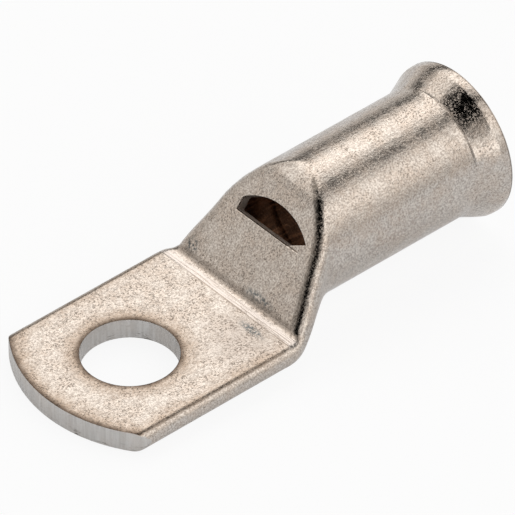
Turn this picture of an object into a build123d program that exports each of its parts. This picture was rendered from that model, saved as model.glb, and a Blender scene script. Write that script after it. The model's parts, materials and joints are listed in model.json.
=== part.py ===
"""Tubular cable lug, formed from one tube: a drilled palm, a pressed slope with a sight window, a round
barrel and a bell mouth.

Frame: origin at the centre of the stud hole on the underside of the palm, +X along the barrel
towards the mouth, +Z up off the palm. Millimetres.
"""
import os
from math import cos, radians, sin, sqrt, tan

from build123d import *

# Tube
barrel_outside = 15.0
wall = 1.3
axis_height = 6.7

# Palm: both walls of the tube pressed together, its end sheared to a shallow arch
palm_squeeze = 0.1
palm_width = 22.0
palm_reach = 11.3
palm_fold_radius = 1.2
stud_hole = 10.5
tip_radius = 17.0
tip_corner = 2.0

# Slope pressed into the tube, from the bend at the palm up to the shoulder on the barrel
bend_x = 14.6
bend_radius = 0.8
slope_angle = 53.0
shoulder_radius = 5.0
shoulder_run_out = 10.0
slope_fold_radius = 1.2

# Neck: the stretch over which the round tube spreads to the palm's width
spread_before_bend = 1.6
spread_length = 9.3
spread_lead = 1.0
spread_sections = 7

# Bell mouth
mouth_x = 45.6
mouth_outside = 17.7
bell_length = 4.5
bell_angle = 24.0
bell_root_radius = 2.5
bell_rim_radius = 1.5

# Sight window in the slope's wall: places across the slope, and up it from the bend
window_left = 4.9
window_right = -5.1
window_foot = 7.4
window_height = 3.05
window_crown_y = 1.0
window_left_side = 1.5
window_tip_side = 1.2
window_tip_run = 2.1
window_corner = 0.5

# Shop values: how far a cutting shape runs past the metal, the shortest side of a section's box,
# and how close a face's middle lies to the press when it is a pressed face
overrun = 5.0
smallest_flat = 0.06
touching = 1e-4

palm_thickness = 2 * wall - palm_squeeze
half_palm = palm_width / 2
barrel_radius = barrel_outside / 2
barrel_bottom = axis_height - barrel_radius
barrel_top = axis_height + barrel_radius
spread_end = bend_x - spread_before_bend
spread_start = spread_end + spread_length
bell_start = mouth_x - bell_length
slope = radians(slope_angle)
run_out = radians(shoulder_run_out)


def ease(t):
    """Smooth step from 0 to 1."""
    return t * t * (3 - 2 * t)


def section_across(x, middle, side, tall, radius):
    """Rounded box across X: four corner arcs with a side between each two.

    Where side and tall equal the radius it is a circle, still in eight edges, so that every section
    of the neck joins the next edge to edge.
    """
    diagonal = cos(radians(45))
    flat, rise, bulge = side - radius, tall - radius, 0
    corner_y, corner_z = flat + radius * diagonal, rise + radius * diagonal
    if flat < smallest_flat:
        flat = rise = smallest_flat
        bulge = side - sqrt(side * side - flat * flat)
    edge, crown = side - bulge, tall - bulge
    corners = [(flat, -crown), (edge, -rise), (edge, rise), (flat, crown)]
    corners += [(-flat, crown), (-edge, rise), (-edge, -rise), (-flat, -crown)]
    middles = [(corner_y, -corner_z), (side, 0), (corner_y, corner_z), (0, tall)]
    middles += [(-corner_y, corner_z), (-side, 0), (-corner_y, -corner_z), (0, -tall)]
    edges = []
    for i, (start, through) in enumerate(zip(corners, middles)):
        end = corners[(i + 1) % len(corners)]
        a, b, c = (Vector(x, y, middle + z) for y, z in (start, through, end))
        curved = i % 2 == 0 or bulge > 0
        edges.append(Edge.make_three_point_arc(a, b, c) if curved else Edge.make_line(a, c))
    return Wire(edges)


def neck_section(x, inset):
    """Section of the tube before the slope is pressed, pulled in by inset all round.

    The round tube turns into a tall rounded box whose lower corners become the palm's folded edges.
    """
    t = ease(min(max((spread_start - x) / spread_length, 0), 1))
    side = barrel_radius + (half_palm - barrel_radius) * t - inset
    bottom = barrel_bottom * (1 - t) + inset
    top = barrel_top - inset
    radius = max(barrel_radius + (palm_fold_radius - barrel_radius) * t - inset, smallest_flat)
    return section_across(x, (bottom + top) / 2, side, (top - bottom) / 2, radius)


def slope_end(inset):
    """Top of the pressed slope, below its shoulder, as X and Z, lowered into the metal by inset."""
    foot_x, foot_z = bend_x + inset * tan(slope / 2), palm_thickness - inset
    end_z = barrel_top - inset - (shoulder_radius - inset) * (cos(run_out) - cos(slope))
    return foot_x + (end_z - foot_z) / tan(slope), end_z


def barrel_start(inset):
    """Where the turned barrel takes over from the neck: past the spread, and inside past the shoulder too.

    The cable's straight bore is round all the way from there to the bell.
    """
    start = spread_start + spread_lead
    if not inset:
        return start
    return max(start, slope_end(inset)[0] + (shoulder_radius - inset) * (sin(slope) - sin(run_out)))


def neck(inset):
    """The stretch where the tube widens from the barrel to the palm, with a lead at each end."""
    step = spread_length / (spread_sections - 1)
    stations = [barrel_start(inset)]
    stations += [spread_start - step * i for i in range(spread_sections)]
    stations += [spread_end - spread_lead]
    return Solid.make_loft([neck_section(x, inset) for x in stations])


def barrel(inset):
    """Round barrel with its bell mouth, turned about the tube's axis, pulled in by inset.

    The metal itself stops at the mouth; the hollow runs on past it.
    """
    start = barrel_start(inset)
    end = mouth_x + (overrun if inset else 0)
    straight = barrel_radius - inset
    mouth = mouth_outside / 2 - inset
    flare = radians(bell_angle)
    root = bell_root_radius + inset
    rim = bell_rim_radius - inset / 2
    cone_start = (bell_start + root * sin(flare), straight + root * (1 - cos(flare)))
    cone_top = mouth - rim * (1 - cos(flare))
    cone_end = (cone_start[0] + (cone_top - cone_start[1]) / tan(flare), cone_top)
    axis_plane = Plane(origin=(0, 0, axis_height), x_dir=(1, 0, 0), z_dir=(0, -1, 0))
    with BuildSketch(axis_plane) as profile:
        with BuildLine():
            Polyline((end, 0), (start, 0), (start, straight), (bell_start, straight))
            JernArc((bell_start, straight), (1, 0), root, bell_angle)
            Line(cone_start, cone_end)
            lip = JernArc(cone_end, (cos(flare), sin(flare)), rim, -bell_angle)
            Polyline(lip @ 1, (end, mouth), (end, 0))
        make_face()
    return revolve(profile.sketch, axis=Axis((0, 0, axis_height), (1, 0, 0)))


def press(inset):
    """The press that forms palm and slope: all that lies above them, lowered into the metal by inset.

    The inside has no floor of its own in the palm, where the two walls lie face to face.
    """
    front = -palm_reach - 2 * overrun
    lift = barrel_top + overrun
    radius = shoulder_radius - inset
    top_end = slope_end(inset)
    trim = bend_radius * tan(slope / 2)
    with BuildSketch(Plane.XZ) as profile:
        with BuildLine():
            if inset:
                floor = -overrun
                Polyline((front, floor), (top_end[0] - (top_end[1] - floor) / tan(slope), floor), top_end)
            else:
                floor = palm_thickness
                bend = JernArc((bend_x - trim, floor), (1, 0), bend_radius, slope_angle)
                Line((front, floor), bend @ 0)
                Line(bend @ 1, top_end)
            shoulder = JernArc(top_end, (cos(slope), sin(slope)), radius, shoulder_run_out - slope_angle)
            leaving = ((shoulder @ 1).X + (lift - (shoulder @ 1).Y) / tan(run_out), lift)
            Polyline(shoulder @ 1, leaving, (front, lift), (front, floor))
        make_face()
    return extrude(profile.sketch, amount=palm_width, both=True)


def pressed_rim(metal, pressing):
    """Edges round the pressed faces: along the palm, up both sides of the slope and over the shoulder."""
    faces = [face for face in metal.faces() if pressing.distance_to(face.center()) < touching]
    edges = [edge for face in faces for edge in face.edges()]
    rim = [edge for edge in edges if sum(edge.is_same(other) for other in edges) == 1]
    return [edge for edge in rim if edge.center().X > -palm_reach]


def tip_waste():
    """What is sheared off round the end of the palm, outside an arch with rounded corners."""
    arch_x = tip_radius - palm_reach
    corner_x = arch_x - sqrt(tip_radius**2 - half_palm**2)
    kept = Pos(arch_x, 0) * (Circle(tip_radius) & Rectangle(2 * tip_radius, palm_width))
    kept = fillet(kept.vertices().group_by(Axis.X)[0], tip_corner)
    reach = tip_corner - corner_x + palm_reach + overrun
    blank = Pos(corner_x + tip_corner, 0) * Rectangle(reach, 2 * palm_width, align=(Align.MAX, Align.CENTER))
    return extrude(Pos(0, 0, -overrun) * (blank - kept), amount=palm_thickness + 2 * overrun)


def window_punch():
    """Punch that opens the slope's wall, square to it.

    Its foot is straight, its crown an arch, and on the right it runs out to a point.
    """
    depth = 2 * wall
    bend = (bend_x, 0, palm_thickness)
    slope_plane = Plane(origin=bend, x_dir=(0, 1, 0), z_dir=(sin(slope), 0, -cos(slope)))
    left_side = (window_left, window_foot + window_left_side)
    tip = (window_right, window_foot + window_tip_side)
    with BuildSketch(slope_plane.offset(-depth)) as outline:
        with BuildLine():
            ThreePointArc(left_side, (window_crown_y, window_foot + window_height), tip)
            Polyline(tip, (window_right + window_tip_run, window_foot), (window_left, window_foot), left_side)
        make_face()
        fillet(outline.vertices().group_by(Axis.Y)[-1], window_corner)
    return extrude(outline.sketch, amount=2 * depth)


def palm_bar():
    """The neck's last section carried on past the end of the palm."""
    start = spread_end - spread_lead
    return extrude(Face(neck_section(start, 0)), amount=-(start + palm_reach + overrun))


def cable_lug():
    tube = barrel(0) + neck(0) + palm_bar()
    pressing = press(0)
    formed = (tube - pressing).solid()
    formed = formed.fillet(slope_fold_radius, pressed_rim(formed, pressing))
    hollow = barrel(wall) + neck(wall) - press(wall)
    drill = Cylinder(stud_hole / 2, 2 * (palm_thickness + overrun))
    return formed - hollow - tip_waste() - drill - window_punch()


os.makedirs("parts", exist_ok=True)
export_step(cable_lug(), "parts/cable_lug.step")
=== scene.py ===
"""Tin-plated cable lug: one formed tube, given its worn plate finish and set in soft studio light.

Metres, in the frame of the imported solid: origin under the stud hole's centre, +X along the barrel to
its mouth, +Z up off the palm.
"""

import json
from math import atan2, cos, pi, radians, sin

import bmesh
import bpy
from mathutils import Matrix, Vector
from mathutils.bvhtree import BVHTree


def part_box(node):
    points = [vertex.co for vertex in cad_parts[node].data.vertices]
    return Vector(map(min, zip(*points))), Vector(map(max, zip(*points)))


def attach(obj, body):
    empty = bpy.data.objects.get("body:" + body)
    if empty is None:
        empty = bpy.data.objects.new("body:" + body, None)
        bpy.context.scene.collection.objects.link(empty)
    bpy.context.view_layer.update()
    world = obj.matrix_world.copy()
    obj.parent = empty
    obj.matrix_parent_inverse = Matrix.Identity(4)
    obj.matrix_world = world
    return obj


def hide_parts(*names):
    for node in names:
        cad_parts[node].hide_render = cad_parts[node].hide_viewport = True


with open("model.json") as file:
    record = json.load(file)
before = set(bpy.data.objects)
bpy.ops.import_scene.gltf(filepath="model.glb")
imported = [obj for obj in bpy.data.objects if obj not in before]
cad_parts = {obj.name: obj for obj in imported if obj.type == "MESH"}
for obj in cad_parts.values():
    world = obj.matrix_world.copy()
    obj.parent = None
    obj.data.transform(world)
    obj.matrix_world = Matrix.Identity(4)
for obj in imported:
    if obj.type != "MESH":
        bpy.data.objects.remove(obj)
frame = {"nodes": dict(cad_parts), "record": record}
bpy.context.view_layer.update()

MM = 0.001
NODE = "cable_lug"
MOUNTS = {mount["name"]: mount for mount in frame["record"]["mounts"]}
HOLE_RADIUS = MOUNTS["stud_hole"]["dims"]["r_mm"] * MM
PALM_THICKNESS = MOUNTS["stud_hole"]["dims"]["length_mm"] * MM
BORE_LENGTH = MOUNTS["cable_barrel"]["dims"]["length_mm"] * MM
BORE_START = MOUNTS["cable_barrel"]["pos_m"][0] - BORE_LENGTH / 2
BELL_START = BORE_START + BORE_LENGTH
LOW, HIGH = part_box(NODE)

# The camera of the photograph
VIEW_AZIMUTH = radians(-41.15)
VIEW_ELEVATION = radians(40.25)
VIEW_DISTANCE = 1.2
VIEW_TARGET = Vector((15.0, -3.0, 9.0)) * MM
PIXELS_PER_METRE = 9612
PHOTO_PIXELS = 515
SENSOR_WIDTH = 36.0
VIEW_AWAY = Vector((
    sin(VIEW_AZIMUTH) * cos(VIEW_ELEVATION),
    -cos(VIEW_AZIMUTH) * cos(VIEW_ELEVATION),
    sin(VIEW_ELEVATION),
))

# The formed tube: the pressed slope where it leaves the palm, its wall, its sight window and the
# palm's sheared end
BEND_X = 14.6 * MM
SLOPE_ANGLE = radians(53)
WALL = 1.3 * MM
WINDOW_FOOT = 7.4 * MM
WINDOW_LEFT = 4.9 * MM
WINDOW_RIGHT = -5.1 * MM
WINDOW_TIP_RUN = 2.1 * MM
TIP_RADIUS = 17.0 * MM

# The mesh: how near two corners are one, which turn is an edge, how far edges are broken, how small a
# face is a sliver, and how far off a face a look outwards starts
WELD = 0.001 * MM
SHARP = radians(38)
BROKEN_EDGE = 0.12 * MM
SLIVER = 1e-10
OFF_FACE = 20 * WELD

# Cut faces: how far their direction may lean along Z in the hole and at the tip, along the punch's
# way in the window, and how far it must turn to the front at the tip
LEAN = 0.6
WINDOW_LEAN = 0.3
FACING = 0.05

PLATE, SHEARED, BORE = range(3)

# Colours of the plate: its grain, what is rubbed, browned or caught in it, black that is also painted
# shadow, the pressed bend's strip that is partly painted highlight, and painted shade past the bend, along
# the folds and over part of the palm
DULL_TIN = (0.385, 0.345, 0.315, 1)
BRIGHT_TIN = (0.695, 0.65, 0.605, 1)
TAN_TIN = (0.58, 0.475, 0.395, 1)
PALM_SHADE_TIN = (0.40, 0.355, 0.325, 1)
BROWNED = (0.30, 0.215, 0.15, 1)
PITTED = (0.15, 0.12, 0.10, 1)
SCUFFED = (0.10, 0.12, 0.13, 1)
BLACK_TARNISH_AND_SHADOW = (0.07, 0.05, 0.038, 1)
PRESSED_STRIP_AND_HIGHLIGHT = (0.62, 0.575, 0.55, 1)
BEND_SHADE_TIN = (0.24, 0.20, 0.17, 1)
FOLD_SHADE_TIN = (0.10, 0.085, 0.07, 1)

# Colours of the cut faces and of the bore; the copper browns deep in the bore are painted shade
CUT_DARK = (0.53, 0.515, 0.50, 1)
CUT_LIGHT = (0.64, 0.63, 0.62, 1)
CUT_WARM = (0.60, 0.54, 0.49, 1)
CUT_PITTED = (0.25, 0.21, 0.18, 1)
NICKED = (0.12, 0.10, 0.08, 1)
WINDOW_BROWN = (0.20, 0.14, 0.10, 1)
SHADED_COPPER_DARK = (0.15, 0.09, 0.06, 1)
SHADED_COPPER_LIGHT = (0.38, 0.22, 0.14, 1)
BORE_GREY = (0.50, 0.46, 0.42, 1)
BORE_TAN = (0.56, 0.47, 0.38, 1)

# Sizes of the grain, its flecks and the lines, which are scored and in part painted shadow
GRAIN_SIZE = 0.2 * MM
FLECK_SIZE = 0.22 * MM
LINE_WIDTH = 0.12 * MM

# Heights on the metal, in millimetres, and how much of the grain the bell and the barrel have lost
GRAIN_HEIGHT = 0.026
CLOUD_HEIGHT = 0.06
PIT_DEPTH = 0.015
DRAWN_DEPTH = 0.02
SCORE_DEPTH = 0.13
SHEAR_HEIGHT = 0.008
NICK_DEPTH = 0.05
BELL_POLISH = 0.75
BARREL_POLISH = 0.22

# Roughness of the finishes
PLATE_ROUGHNESS = 0.10
CUT_ROUGHNESS = 0.36
BORE_ROUGHNESS = 0.4

# Along the bend, from and to in X: the pale strip that the press left, partly painted highlight, and the
# painted shade past it
STRIP = (13.0 * MM, 14.3 * MM)
BEND_SHADE = (14.2 * MM, 15.2 * MM)

# Marks seen from above, as middle and reach in millimetres: scuffs beside the bend, and painted shade
# that darkens the palm near the bend
SCUFFS = (((15.1, -2.9), (0.55, 2.9)), ((11.9, -5.6), (0.7, 2.3)), ((15.4, 7.9), (0.7, 1.1)))
PALM_SHADE = ((10.5, -6.0), (7.0, 6.0))

# The scored line round the root of the bell
ROOT_LINE_X = BELL_START + 0.8 * MM

# The slope's flat face: where it ends, half its width at the bend, how fast it narrows up the slope,
# and how fast more near the shoulder, from so far up
SLOPE_TOP = 22 * MM
SLOPE_HALF_WIDTH = 8.85 * MM
SLOPE_TAPER = 0.27
SHOULDER_TAPER = 0.07 / MM
SHOULDER_START = 8 * MM

# Light level by the angle round the barrel, from -180 under it, over its top at 0, back to 180.
# FAR_LIGHT is what the barrel and the palm mirror, NEAR_LIGHT what the bell and the slope do.
FAR_LIGHT = (
    (-180, 0.80), (-140, 0.95), (-116, 0.85), (-98, 0.80), (-86, 0.66), (-76, 0.38), (-69, 0.06),
    (-60, 0.06), (-54, 0.85), (-45, 1.32), (-30, 1.42), (-18, 1.35), (-8, 1.0), (-1, 0.42), (5, 0.05),
    (12, 0.12), (20, 0.72), (34, 1.0), (46, 1.15), (58, 0.98), (70, 0.78), (82, 0.58), (92, 0.40),
    (99, 0.60), (110, 0.80), (180, 0.80),
)
NEAR_LIGHT = (
    (-180, 0.80), (-120, 0.82), (-96, 0.72), (-84, 0.64), (-68, 0.68), (-60, 0.74), (-50, 0.88),
    (-40, 0.98), (-30, 1.0), (-24, 0.75), (-19, 0.12), (-12, 0.0), (26, 0.0), (35, 0.04), (40, 1.3),
    (47, 1.6), (55, 1.4), (66, 1.12), (77, 1.3), (86, 0.74), (93, 0.54), (100, 0.60), (112, 0.78),
    (180, 0.80),
)
BRIGHTEST = 1.6
LIGHT_STRENGTH = 1.32 * BRIGHTEST
WARM_LIGHT = (1.0, 0.955, 0.90)
WARM_WITHIN = 100

# The X of a direction, from -1 off the palm's tip to 1 off the mouth, where the near light gives way to
# the far one
LIGHTS_MEET = (-0.12, 0.03)

# Where the studio is dark, each as where that starts and where it is full: round the camera, by the
# angle from it and from some X on; and off the tip, from some X back and between two angles
DARK_START = radians(30)
DARK_FULL = radians(13)
CAMERA_DARK_X = (-0.6, -0.42)
TIP_DARK_X = (-0.52, -0.66)
TIP_DARK_ANGLES = ((radians(-57), radians(-44)), (radians(60), radians(50)))
DARKNESS = 0.85
DARK = (0, 0, 0, 1)
WHITE = (1, 1, 1, 1)

# The floor: half its side, how far under the lug it lies, and how much of its white is seen by the
# camera and mirrored in the metal
FLOOR_HALF_SIDE = 1.2
FLOOR_DROP = 0.05 * MM
FLOOR_COLOUR = (0.88, 0.92, 0.97, 1)
WHITE_SEEN = 0.9
WHITE_MIRRORED = 0.4


class Nodes:
    """A node tree with short calls that place its nodes and link them."""

    def __init__(self, tree):
        self.tree = tree

    def add(self, kind, inputs=None, **settings):
        node = self.tree.nodes.new(kind)
        for name, value in settings.items():
            setattr(node, name, value)
        for name, value in (inputs or {}).items():
            self.feed(node.inputs[name], value)
        return node

    def feed(self, socket, value):
        if isinstance(value, bpy.types.NodeSocket):
            self.tree.links.new(value, socket)
        else:
            socket.default_value = value

    def math(self, operation, a, b=0.0, clamp=False):
        node = self.add("ShaderNodeMath", {0: a, 1: b}, operation=operation, use_clamp=clamp)
        return node.outputs[0]

    def plus(self, a, b):
        return self.math("ADD", a, b)

    def minus(self, a, b):
        return self.math("SUBTRACT", a, b)

    def times(self, first, *others):
        for other in others:
            first = self.math("MULTIPLY", first, other)
        return first

    def apart(self, value, middle):
        """How far value is from middle, on either side."""
        return self.math("ABSOLUTE", self.minus(value, middle))

    def close(self, distance, reach):
        """1 at no distance, falling evenly to 0 at reach."""
        return self.math("SUBTRACT", 1.0, self.math("DIVIDE", distance, reach), clamp=True)

    def fade(self, value, start, end):
        """0 where value is at start, 1 where it is at end, smooth between."""
        inputs = {"Value": value, "From Min": start, "From Max": end}
        return self.add("ShaderNodeMapRange", inputs, interpolation_type="SMOOTHSTEP").outputs["Result"]

    def band(self, value, start, end, rise, fall):
        """1 from start to end and 0 outside, rising and falling over those lengths inside them."""
        return self.times(self.fade(value, start, start + rise), self.fade(value, end, end - fall))

    def mix(self, share, a, b):
        node = self.add("ShaderNodeMix", data_type="RGBA")
        self.feed(node.inputs["Factor"], share)
        self.feed(node.inputs[6], a)
        self.feed(node.inputs[7], b)
        return node.outputs[2]

    def layers(self, colour, *layers):
        """Colour under layers, each a mask, its share at most and its own colour."""
        for mask, share, over in layers:
            colour = self.mix(self.times(mask, share), colour, over)
        return colour

    def vector(self, operation, a, b, output="Vector"):
        return self.add("ShaderNodeVectorMath", {0: a, 1: b}, operation=operation).outputs[output]

    def length(self, vector):
        return self.vector("LENGTH", vector, (0, 0, 0), "Value")

    def noise(self, place, size, detail=2.0, rough=0.5, stretch=None):
        """Noise round 0.5 with features of that size; stretch lengthens it along X, Y and Z where it is
        under 1."""
        if stretch:
            place = self.add("ShaderNodeMapping", {"Vector": place, "Scale": stretch}).outputs[0]
        scale = self.math("DIVIDE", 1.0, size) if isinstance(size, bpy.types.NodeSocket) else 1 / size
        inputs = {"Vector": place, "Scale": scale, "Detail": detail, "Roughness": rough}
        return self.add("ShaderNodeTexNoise", inputs).outputs["Fac"]

    def place(self):
        """The place on the part."""
        return self.add("ShaderNodeTexCoord").outputs["Object"]

    def split(self, vector):
        return self.add("ShaderNodeSeparateXYZ", {0: vector}).outputs

    def from_spot(self, place, middle, reach):
        """How far from a spot's middle a place is, seen from above, as a part of the spot's reach."""
        offset = self.vector("SUBTRACT", place, (middle[0] * MM, middle[1] * MM, 0))
        return self.length(self.vector("MULTIPLY", offset, (1 / (reach[0] * MM), 1 / (reach[1] * MM), 0)))

    def up_slope(self, x, z):
        """How far up the pressed slope a place is from the bend."""
        over = self.times(self.minus(x, BEND_X), cos(SLOPE_ANGLE))
        return self.plus(over, self.times(self.minus(z, PALM_THICKNESS), sin(SLOPE_ANGLE)))

    def under_slope(self, x, z):
        """How deep under the pressed slope's face a place is."""
        over = self.times(self.minus(x, BEND_X), sin(SLOPE_ANGLE))
        return self.minus(over, self.times(self.minus(z, PALM_THICKNESS), cos(SLOPE_ANGLE)))


def new_group(name, inputs, outputs):
    """An empty shader node group with named sockets, and its Nodes, input node and output node."""
    tree = bpy.data.node_groups.new(name, "ShaderNodeTree")
    for label, value in inputs.items():
        socket = tree.interface.new_socket(label, in_out="INPUT", socket_type="NodeSocketFloat")
        socket.default_value = value
    for label in outputs:
        tree.interface.new_socket(label, in_out="OUTPUT", socket_type="NodeSocketFloat")
    nodes = Nodes(tree)
    return nodes, nodes.add("NodeGroupInput"), nodes.add("NodeGroupOutput")


def plate_grain():
    """Group: the grain, pits and clouds of a tumbled tin plate, and how high it stands in millimetres."""
    sizes = {"Grain Size": GRAIN_SIZE, "Cloud Size": 2.2 * MM}
    nodes, given, made = new_group("plate_grain", sizes, ["Grain", "Pits", "Clouds", "Height"])
    place = nodes.place()
    x = nodes.split(place)["X"]
    grain = nodes.noise(place, given.outputs["Grain Size"], detail=3.0, rough=0.65)
    clouds = nodes.noise(place, given.outputs["Cloud Size"], detail=5.0, rough=0.62)
    flecks = nodes.noise(place, FLECK_SIZE, detail=3.0, rough=0.7)
    pits = nodes.times(nodes.fade(flecks, 0.47, 0.34), nodes.fade(clouds, 0.34, 0.58))
    on_bell = nodes.fade(x, BELL_START - 0.5 * MM, BELL_START + 0.5 * MM)
    on_barrel = nodes.fade(x, BORE_START - 4 * MM, BORE_START)
    lost = nodes.math("MAXIMUM", nodes.times(on_bell, BELL_POLISH), nodes.times(on_barrel, BARREL_POLISH))
    height = nodes.times(grain, nodes.minus(1.0, lost), GRAIN_HEIGHT)
    height = nodes.plus(height, nodes.times(clouds, CLOUD_HEIGHT))
    nodes.feed(made.inputs["Grain"], nodes.fade(grain, 0.36, 0.64))
    nodes.feed(made.inputs["Pits"], pits)
    nodes.feed(made.inputs["Clouds"], nodes.fade(clouds, 0.32, 0.68))
    nodes.feed(made.inputs["Height"], nodes.minus(height, nodes.times(pits, PIT_DEPTH)))
    return nodes.tree


def drawn_lines():
    """Group: faint lines that drawing left along the barrel, and rings rubbed round it in places."""
    nodes, given, made = new_group("drawn_lines", {"Depth": DRAWN_DEPTH}, ["Height"])
    place = nodes.place()
    x = nodes.split(place)["X"]
    lines = nodes.noise(place, 0.55 * MM, detail=2.0, stretch=(0.07, 1, 1))
    rings = nodes.noise(place, 0.24 * MM, detail=1.0, stretch=(1, 0.14, 0.14))
    rubbed = nodes.fade(nodes.noise(place, 3.5 * MM, detail=1.0), 0.42, 0.62)
    relief = nodes.plus(lines, nodes.times(rings, rubbed, 1.3))
    on_barrel = nodes.fade(x, BORE_START - 6 * MM, BORE_START)
    nodes.feed(made.inputs["Height"], nodes.times(relief, given.outputs["Depth"], on_barrel))
    return nodes.tree


def edge_tarnish():
    """Group: how near a place on the palm's flats is to the hole, the sides or the tip."""
    nodes, given, made = new_group("edge_tarnish", {"Width": 1.0 * MM, "Wander": 0.5 * MM}, ["Mask"])
    place = nodes.place()
    x, y, z = nodes.split(place)
    from_above = nodes.vector("MULTIPLY", place, (1, 1, 0))
    from_hole = nodes.minus(nodes.length(from_above), HOLE_RADIUS)
    from_arch_middle = nodes.length(nodes.vector("SUBTRACT", from_above, (TIP_RADIUS + LOW.x, 0, 0)))
    from_tip = nodes.minus(TIP_RADIUS, from_arch_middle)
    from_side = nodes.minus(HIGH.y, nodes.math("ABSOLUTE", y))
    nearest = nodes.math("MINIMUM", from_hole, nodes.math("MINIMUM", from_tip, from_side))
    wander = nodes.minus(nodes.noise(place, 2.5 * MM, detail=4.0), 0.5)
    nearest = nodes.plus(nearest, nodes.times(wander, given.outputs["Wander"]))
    before_bend = nodes.fade(x, BEND_X - 1 * MM, BEND_X - 3 * MM)
    on_flats = nodes.fade(nodes.apart(z, PALM_THICKNESS / 2), 0.9 * MM, 1.15 * MM)
    mask = nodes.close(nearest, given.outputs["Width"])
    nodes.feed(made.inputs["Mask"], nodes.times(mask, before_bend, on_flats))
    return nodes.tree


def bend_marks():
    """Group: the pale strip that the press left along the bend, partly painted highlight, the painted shade
    past it, scuffs beside them, and painted shade that darkens part of the palm."""
    nodes, _, made = new_group("bend_marks", {}, ["Strip", "Crease", "Scuffs", "Handled"])
    place = nodes.place()
    x = nodes.split(place)["X"]
    z = nodes.split(place)["Z"]
    on_top = nodes.fade(z, PALM_THICKNESS - 0.3 * MM, PALM_THICKNESS - 0.1 * MM)
    strip = nodes.band(x, *STRIP, rise=0.25 * MM, fall=0.2 * MM)
    drawn = nodes.fade(nodes.noise(place, 0.2 * MM, detail=1.0, stretch=(1, 0.03, 1)), 0.62, 0.42)
    strip = nodes.times(strip, nodes.plus(0.55, nodes.times(drawn, 0.45)))
    shade_beyond_bend = nodes.band(x, *BEND_SHADE, rise=0.3 * MM, fall=0.3 * MM)
    scuffs = 0.0
    for middle, reach in SCUFFS:
        scuffs = nodes.math("MAXIMUM", scuffs, nodes.fade(nodes.from_spot(place, middle, reach), 1.1, 0.3))
    broken = nodes.fade(nodes.noise(place, 0.35 * MM, detail=3.0, rough=0.7), 0.62, 0.4)
    shaded_palm = nodes.fade(nodes.from_spot(place, *PALM_SHADE), 1.0, 0.2)
    nodes.feed(made.inputs["Strip"], nodes.times(strip, on_top))
    nodes.feed(made.inputs["Crease"], nodes.times(shade_beyond_bend, on_top))
    nodes.feed(made.inputs["Scuffs"], nodes.times(scuffs, broken, on_top))
    nodes.feed(made.inputs["Handled"], nodes.times(shaded_palm, on_top))
    return nodes.tree


def scored_lines():
    """Group: a dark line along the window's foot, partly a scored line and partly painted shadow under the
    cut edge, another scored line round the root of the bell, and the mouth's darkened rim. The height is in
    millimetres."""
    nodes, given, made = new_group("scored_lines", {"Line Width": LINE_WIDTH}, ["Lines", "Height"])
    x, y, z = nodes.split(nodes.place())
    beside = nodes.times(
        nodes.fade(y, WINDOW_LEFT + 0.1 * MM, WINDOW_LEFT),
        nodes.fade(y, WINDOW_RIGHT, WINDOW_RIGHT + WINDOW_TIP_RUN),
        nodes.fade(x, SLOPE_TOP, SLOPE_TOP - MM),
    )
    foot_line_and_shadow = nodes.close(nodes.apart(nodes.up_slope(x, z), WINDOW_FOOT), given.outputs["Line Width"])
    foot_line_and_shadow = nodes.times(foot_line_and_shadow, nodes.math("SQRT", beside))
    on_right = nodes.fade(y, 3.0 * MM, -1.5 * MM)
    on_top = nodes.fade(z, 8.0 * MM, 10.0 * MM)
    root_line = nodes.close(nodes.apart(x, ROOT_LINE_X), given.outputs["Line Width"])
    root_line = nodes.times(root_line, on_right, on_top)
    rim = nodes.fade(x, HIGH.x - 0.3 * MM, HIGH.x - 0.1 * MM)
    nodes.feed(made.inputs["Lines"], nodes.math("MAXIMUM", foot_line_and_shadow, rim))
    deepest = nodes.math("MAXIMUM", foot_line_and_shadow, root_line)
    nodes.feed(made.inputs["Height"], nodes.times(deepest, -SCORE_DEPTH))
    return nodes.tree


def fold_grime():
    """Group: painted shade along the folds at both sides of the slope, a dark band for the dark the folds
    mirror, more of it on the right.
    """
    nodes, _, made = new_group("fold_grime", {}, ["Mask"])
    place = nodes.place()
    x, y, z = nodes.split(place)
    climb = nodes.up_slope(x, z)
    past = nodes.math("MAXIMUM", nodes.minus(climb, SHOULDER_START), 0.0)
    narrowing = nodes.plus(nodes.times(past, past, SHOULDER_TAPER), nodes.times(climb, SLOPE_TAPER))
    from_fold = nodes.minus(nodes.plus(nodes.math("ABSOLUTE", y), narrowing), SLOPE_HALF_WIDTH)
    shade_band = nodes.band(from_fold, start=-0.7 * MM, end=0.75 * MM, rise=0.6 * MM, fall=0.4 * MM)
    on_face = nodes.fade(nodes.math("ABSOLUTE", nodes.under_slope(x, z)), 1.0 * MM, 0.5 * MM)
    past_bend = nodes.fade(climb, 0.2 * MM, 1.0 * MM)
    broken = nodes.fade(nodes.noise(place, 0.35 * MM, detail=3.0, rough=0.7), 0.62, 0.4)
    patchy = nodes.plus(0.6, nodes.times(broken, 0.4))
    on_right = nodes.plus(0.35, nodes.times(nodes.fade(y, 3 * MM, -1 * MM), 0.65))
    nodes.feed(made.inputs["Mask"], nodes.times(shade_band, on_face, past_bend, patchy, on_right))
    return nodes.tree


def principled(name):
    """A new material, its Nodes and its Principled BSDF."""
    material = bpy.data.materials.new(name)
    material.use_nodes = True
    nodes = Nodes(material.node_tree)
    return material, nodes, material.node_tree.nodes["Principled BSDF"]


def use_group(nodes, tree, values=None):
    """Outputs of a group placed in a material, with the material's own values for it."""
    return nodes.add("ShaderNodeGroup", values, node_tree=tree).outputs


def raise_surface(nodes, shader, height):
    """Bump whose height is in millimetres."""
    bump = nodes.add("ShaderNodeBump", {"Strength": 1.0, "Distance": MM, "Height": height})
    nodes.feed(shader.inputs["Normal"], bump.outputs[0])


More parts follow.
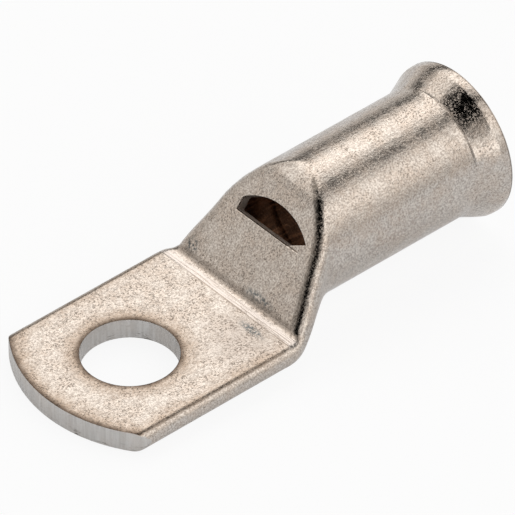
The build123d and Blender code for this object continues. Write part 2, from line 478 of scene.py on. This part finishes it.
def tin_plate(groups):
    """Outside of the tube: satin tin, warm grey, speckled dark, browned round the palm's edges, with painted
    shade and highlight at the bend, folds, window foot and palm.
    """
    material, nodes, shader = principled("tin_plate")
    grain = use_group(nodes, groups["plate_grain"], {"Grain Size": GRAIN_SIZE, "Cloud Size": 2.2 * MM})
    brown = use_group(nodes, groups["edge_tarnish"], {"Width": 2.3 * MM, "Wander": 2.2 * MM})
    black = use_group(nodes, groups["edge_tarnish"], {"Width": 0.75 * MM, "Wander": 0.7 * MM})
    drawn = use_group(nodes, groups["drawn_lines"], {"Depth": DRAWN_DEPTH})
    bend = use_group(nodes, groups["bend_marks"])
    scored_and_shadow = use_group(nodes, groups["scored_lines"], {"Line Width": LINE_WIDTH})
    folds = use_group(nodes, groups["fold_grime"])
    colour = nodes.layers(
        nodes.mix(grain["Grain"], DULL_TIN, BRIGHT_TIN),
        (grain["Clouds"], 0.4, TAN_TIN),
        # painted shade: darkens the palm near the bend, where the light falls off
        (bend["Handled"], 0.5, PALM_SHADE_TIN),
        (brown["Mask"], 0.75, BROWNED),
        (grain["Pits"], 0.5, PITTED),
        (bend["Scuffs"], 0.9, SCUFFED),
        (black["Mask"], 1.0, BLACK_TARNISH_AND_SHADOW),
        # painted shadow under the window's foot edge, partly a scored line, and the mouth's darkened rim
        (scored_and_shadow["Lines"], 0.85, BLACK_TARNISH_AND_SHADOW),
        # the strip: partly the press's burnish, partly painted highlight; the band past the bend: painted
        # shade
        (bend["Strip"], 0.85, PRESSED_STRIP_AND_HIGHLIGHT),
        (bend["Crease"], 0.6, BEND_SHADE_TIN),
        # painted shade: a dark band along the folds, standing in for the dark they mirror
        (folds["Mask"], 0.8, FOLD_SHADE_TIN),
    )
    nodes.feed(shader.inputs["Base Color"], colour)
    nodes.feed(shader.inputs["Metallic"], 1.0)
    roughness = nodes.plus(PLATE_ROUGHNESS, nodes.times(grain["Clouds"], 0.09))
    nodes.feed(shader.inputs["Roughness"], nodes.plus(roughness, nodes.times(grain["Pits"], 0.15)))
    height = nodes.times(grain["Height"], nodes.minus(1.0, nodes.times(bend["Strip"], 0.8)))
    height = nodes.plus(nodes.plus(height, drawn["Height"]), scored_and_shadow["Height"])
    raise_surface(nodes, shader, height)
    return material


def sheared_metal(groups):
    """Cut faces: hole wall, palm end, window walls and mouth; smoother, cooler, with shear lines across."""
    material, nodes, shader = principled("sheared_metal")
    place = nodes.place()
    x = nodes.split(place)["X"]
    z = nodes.split(place)["Z"]
    grain = use_group(nodes, groups["plate_grain"], {"Grain Size": GRAIN_SIZE, "Cloud Size": 3 * MM})
    lines = nodes.noise(place, 0.3 * MM, detail=2.0, stretch=(1, 1, 0.08))
    nicks = nodes.noise(place, 0.8 * MM, detail=3.0, rough=0.6, stretch=(0.5, 0.5, 3.5))
    nicks = nodes.times(nodes.fade(nicks, 0.40, 0.34), nodes.fade(z, 1.1 * MM, 0.5 * MM))
    in_window = nodes.times(nodes.fade(x, BEND_X, BEND_X + MM), nodes.fade(x, BELL_START, BORE_START))
    colour = nodes.layers(
        nodes.mix(nodes.fade(lines, 0.3, 0.7), CUT_DARK, CUT_LIGHT),
        (grain["Clouds"], 0.4, CUT_WARM),
        (grain["Pits"], 0.25, CUT_PITTED),
        (nicks, 0.7, NICKED),
        (in_window, 0.55, WINDOW_BROWN),
    )
    nodes.feed(shader.inputs["Base Color"], colour)
    nodes.feed(shader.inputs["Metallic"], 1.0)
    nodes.feed(shader.inputs["Roughness"], nodes.plus(CUT_ROUGHNESS, nodes.times(in_window, 0.3)))
    height = nodes.minus(nodes.times(lines, SHEAR_HEIGHT), nodes.times(nicks, NICK_DEPTH))
    raise_surface(nodes, shader, height)
    return material


def bore_metal(groups):
    """Inside of the tube: plated at the mouth, darker copper brown further in as painted shade, streaked
    along its length.
    """
    material, nodes, shader = principled("bore_metal")
    place = nodes.place()
    x = nodes.split(place)["X"]
    grain = use_group(nodes, groups["plate_grain"], {"Grain Size": GRAIN_SIZE, "Cloud Size": 2 * MM})
    streaks = nodes.noise(place, 0.4 * MM, detail=3.0, stretch=(0.1, 1, 1))
    # painted shade: darker copper browns further into the bore from the mouth
    shaded_deep = nodes.mix(nodes.fade(streaks, 0.42, 0.7), SHADED_COPPER_DARK, SHADED_COPPER_LIGHT)
    plated = nodes.mix(grain["Clouds"], BORE_GREY, BORE_TAN)
    colour = nodes.mix(nodes.fade(x, BELL_START - 9 * MM, BELL_START), shaded_deep, plated)
    nodes.feed(shader.inputs["Base Color"], colour)
    nodes.feed(shader.inputs["Metallic"], 1.0)
    nodes.feed(shader.inputs["Roughness"], BORE_ROUGHNESS)
    raise_surface(nodes, shader, nodes.times(grain["Height"], 0.6))
    return material


def welded_copy():
    """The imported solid's triangles, joined at their shared corners."""
    mesh = bmesh.new()
    mesh.from_mesh(frame["nodes"][NODE].data)
    bmesh.ops.remove_doubles(mesh, verts=mesh.verts, dist=WELD)
    return mesh


def break_edges(mesh):
    """Take the sharpness off the cut edges."""
    sharp = [edge for edge in mesh.edges if edge.is_manifold and edge.calc_face_angle() > SHARP]
    bmesh.ops.bevel(mesh, geom=sharp, offset=BROKEN_EDGE, offset_type="OFFSET", segments=2,
                    profile=0.5, affect="EDGES", clamp_overlap=False)
    bmesh.ops.remove_doubles(mesh, verts=mesh.verts, dist=WELD)
    bmesh.ops.triangulate(mesh, faces=mesh.faces)
    mesh.normal_update()
    mesh.faces.index_update()


def finish_of(face, tree):
    """Which finish a face has: plate outside, sheared metal where a tool cut it, or the bore's."""
    centre = face.calc_center_median()
    normal = face.normal
    in_hole = Vector((centre.x, centre.y)).length < HOLE_RADIUS + 2 * BROKEN_EDGE
    at_tip = centre.x < -HOLE_RADIUS / 2 and normal.x < -FACING
    at_mouth = centre.x > HIGH.x - BROKEN_EDGE
    if abs(normal.z) < LEAN and (in_hole or at_tip) or at_mouth:
        return SHEARED
    if centre.x < BEND_X or tree.ray_cast(centre + normal * OFF_FACE, normal, HIGH.x)[0] is None:
        return PLATE
    into_slope = Vector((sin(SLOPE_ANGLE), 0, -cos(SLOPE_ANGLE)))
    depth = (centre - Vector((BEND_X, 0, PALM_THICKNESS))).dot(into_slope)
    punched = depth < WALL - OFF_FACE and abs(normal.dot(into_slope)) < WINDOW_LEAN
    return SHEARED if punched else BORE


def finishes(mesh):
    """The finish of each face; a sliver has that of the largest face beside it."""
    tree = BVHTree.FromBMesh(mesh)
    areas = [face.calc_area() for face in mesh.faces]
    found = [finish_of(face, tree) for face in mesh.faces]
    for face in mesh.faces:
        if areas[face.index] < SLIVER:
            beside = [other.index for edge in face.edges for other in edge.link_faces]
            found[face.index] = found[max(beside, key=areas.__getitem__)]
    return found


def corner_normals(mesh):
    """For each face corner the mean direction of the faces round it that turn less than an edge, by area."""
    areas = [face.calc_area() for face in mesh.faces]
    limit = cos(SHARP)
    normals = []
    for face in mesh.faces:
        for vert in face.verts:
            total = Vector()
            for other in vert.link_faces:
                if other.normal.dot(face.normal) > limit:
                    total += other.normal * areas[other.index]
            normals.append(total.normalized())
    return normals


def formed_tube(materials):
    """The lug itself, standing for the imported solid."""
    mesh = welded_copy()
    break_edges(mesh)
    for face, finish in zip(mesh.faces, finishes(mesh)):
        face.material_index = finish
        face.smooth = True
    normals = corner_normals(mesh)
    data = bpy.data.meshes.new("formed_tube")
    mesh.to_mesh(data)
    mesh.free()
    data.normals_split_custom_set(normals)
    for material in materials:
        data.materials.append(material)
    piece = bpy.data.objects.new("formed_tube", data)
    bpy.context.scene.collection.objects.link(piece)
    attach(piece, "root")
    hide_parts(NODE)


def camera():
    data = bpy.data.cameras.new("camera")
    data.sensor_width = SENSOR_WIDTH
    data.lens = SENSOR_WIDTH * PIXELS_PER_METRE * VIEW_DISTANCE / PHOTO_PIXELS
    data.clip_start = 0.01
    data.clip_end = 10
    item = bpy.data.objects.new("camera", data)
    item.location = VIEW_TARGET + VIEW_AWAY * VIEW_DISTANCE
    item.rotation_mode = "QUATERNION"
    item.rotation_quaternion = (-VIEW_AWAY).to_track_quat("-Z", "Y")
    bpy.context.scene.collection.objects.link(item)
    bpy.context.scene.camera = item


def floor_material():
    """Pale and lit, with white added for the camera and the metal; clear from below."""
    material, nodes, shader = principled("floor")
    nodes.feed(shader.inputs["Base Color"], FLOOR_COLOUR)
    nodes.feed(shader.inputs["Roughness"], 0.9)
    path = nodes.add("ShaderNodeLightPath")
    seen = nodes.times(path.outputs["Is Camera Ray"], WHITE_SEEN)
    mirrored = nodes.times(path.outputs["Is Glossy Ray"], WHITE_MIRRORED)
    glow = nodes.add("ShaderNodeEmission", {"Color": WHITE, "Strength": 1.0})
    inputs = {0: nodes.math("MAXIMUM", seen, mirrored), 1: shader.outputs[0], 2: glow.outputs[0]}
    lit = nodes.add("ShaderNodeMixShader", inputs)
    clear = nodes.add("ShaderNodeBsdfTransparent")
    below = nodes.add("ShaderNodeNewGeometry").outputs["Backfacing"]
    one_sided = nodes.add("ShaderNodeMixShader", {0: below, 1: lit.outputs[0], 2: clear.outputs[0]})
    nodes.feed(nodes.tree.nodes["Material Output"].inputs["Surface"], one_sided.outputs[0])
    return material


def floor():
    """Pale floor that touches the lug where it rests: under the palm's tip and under the bell."""
    lean = Matrix.Rotation(atan2(-LOW.z, HIGH.x - LOW.x), 4, "Y")
    place = Matrix.Translation((LOW.x, 0, -FLOOR_DROP)) @ lean
    corners = [(-1, -1, 0), (1, -1, 0), (1, 1, 0), (-1, 1, 0)]
    data = bpy.data.meshes.new("floor")
    data.from_pydata([place @ (Vector(corner) * FLOOR_HALF_SIDE) for corner in corners], [], [(0, 1, 2, 3)])
    data.materials.append(floor_material())
    item = bpy.data.objects.new("floor", data)
    bpy.context.scene.collection.objects.link(item)


def light_round(nodes, turn, stops):
    """Light by the angle round the barrel, as a part of the brightest, warm over the upper side."""
    ramp = nodes.add("ShaderNodeValToRGB", {"Fac": turn})
    for _ in stops[1:-1]:
        ramp.color_ramp.elements.new(0.5)
    for element, (angle, level) in zip(ramp.color_ramp.elements, stops):
        tint = WARM_LIGHT if abs(angle) < WARM_WITHIN else (1, 1, 1)
        element.position = angle / 360 + 0.5
        element.color = (*(level / BRIGHTEST * share for share in tint), 1)
    return ramp.outputs["Color"]


def studio():
    """Soft boxes overhead and in front with a dark gap between them, and dark round the camera and off
    the palm's tip.

    The gap is narrow where the barrel mirrors it, at the far end, and wide where bell and slope do.
    """
    world = bpy.data.worlds.new("studio")
    bpy.context.scene.world = world
    world.use_nodes = True
    nodes = Nodes(world.node_tree)
    direction = nodes.add("ShaderNodeTexCoord").outputs["Generated"]
    x, y, z = nodes.split(direction)
    angle = nodes.math("ARCTAN2", nodes.times(y, -1.0), z)
    turn = nodes.plus(nodes.math("DIVIDE", angle, 2 * pi), 0.5)
    near = light_round(nodes, turn, NEAR_LIGHT)
    far = light_round(nodes, turn, FAR_LIGHT)
    level = nodes.mix(nodes.fade(x, *LIGHTS_MEET), near, far)
    to_camera = nodes.vector("DOT_PRODUCT", direction, VIEW_AWAY, "Value")
    round_camera = nodes.fade(to_camera, cos(DARK_START), cos(DARK_FULL))
    round_camera = nodes.times(round_camera, nodes.fade(x, *CAMERA_DARK_X))
    between = [nodes.fade(angle, *side) for side in TIP_DARK_ANGLES]
    off_tip = nodes.times(*between, nodes.fade(x, *TIP_DARK_X))
    level = nodes.layers(level, (round_camera, DARKNESS, DARK), (off_tip, DARKNESS, DARK))
    lit = nodes.add("ShaderNodeBackground", {"Color": level, "Strength": LIGHT_STRENGTH})
    white = nodes.add("ShaderNodeBackground", {"Color": WHITE, "Strength": 1.0})
    seen = nodes.add("ShaderNodeLightPath").outputs["Is Camera Ray"]
    mixed = nodes.add("ShaderNodeMixShader", {0: seen, 1: lit.outputs[0], 2: white.outputs[0]})
    output = next(node for node in nodes.tree.nodes if node.type == "OUTPUT_WORLD")
    nodes.feed(output.inputs["Surface"], mixed.outputs[0])


made_groups = (plate_grain(), drawn_lines(), edge_tarnish(), bend_marks(), scored_lines(), fold_grime())
groups = {tree.name: tree for tree in made_groups}
camera()
formed_tube([tin_plate(groups), sheared_metal(groups), bore_metal(groups)])
floor()
studio()
bpy.context.scene.view_settings.view_transform = "Standard"

bpy.context.view_layer.update()
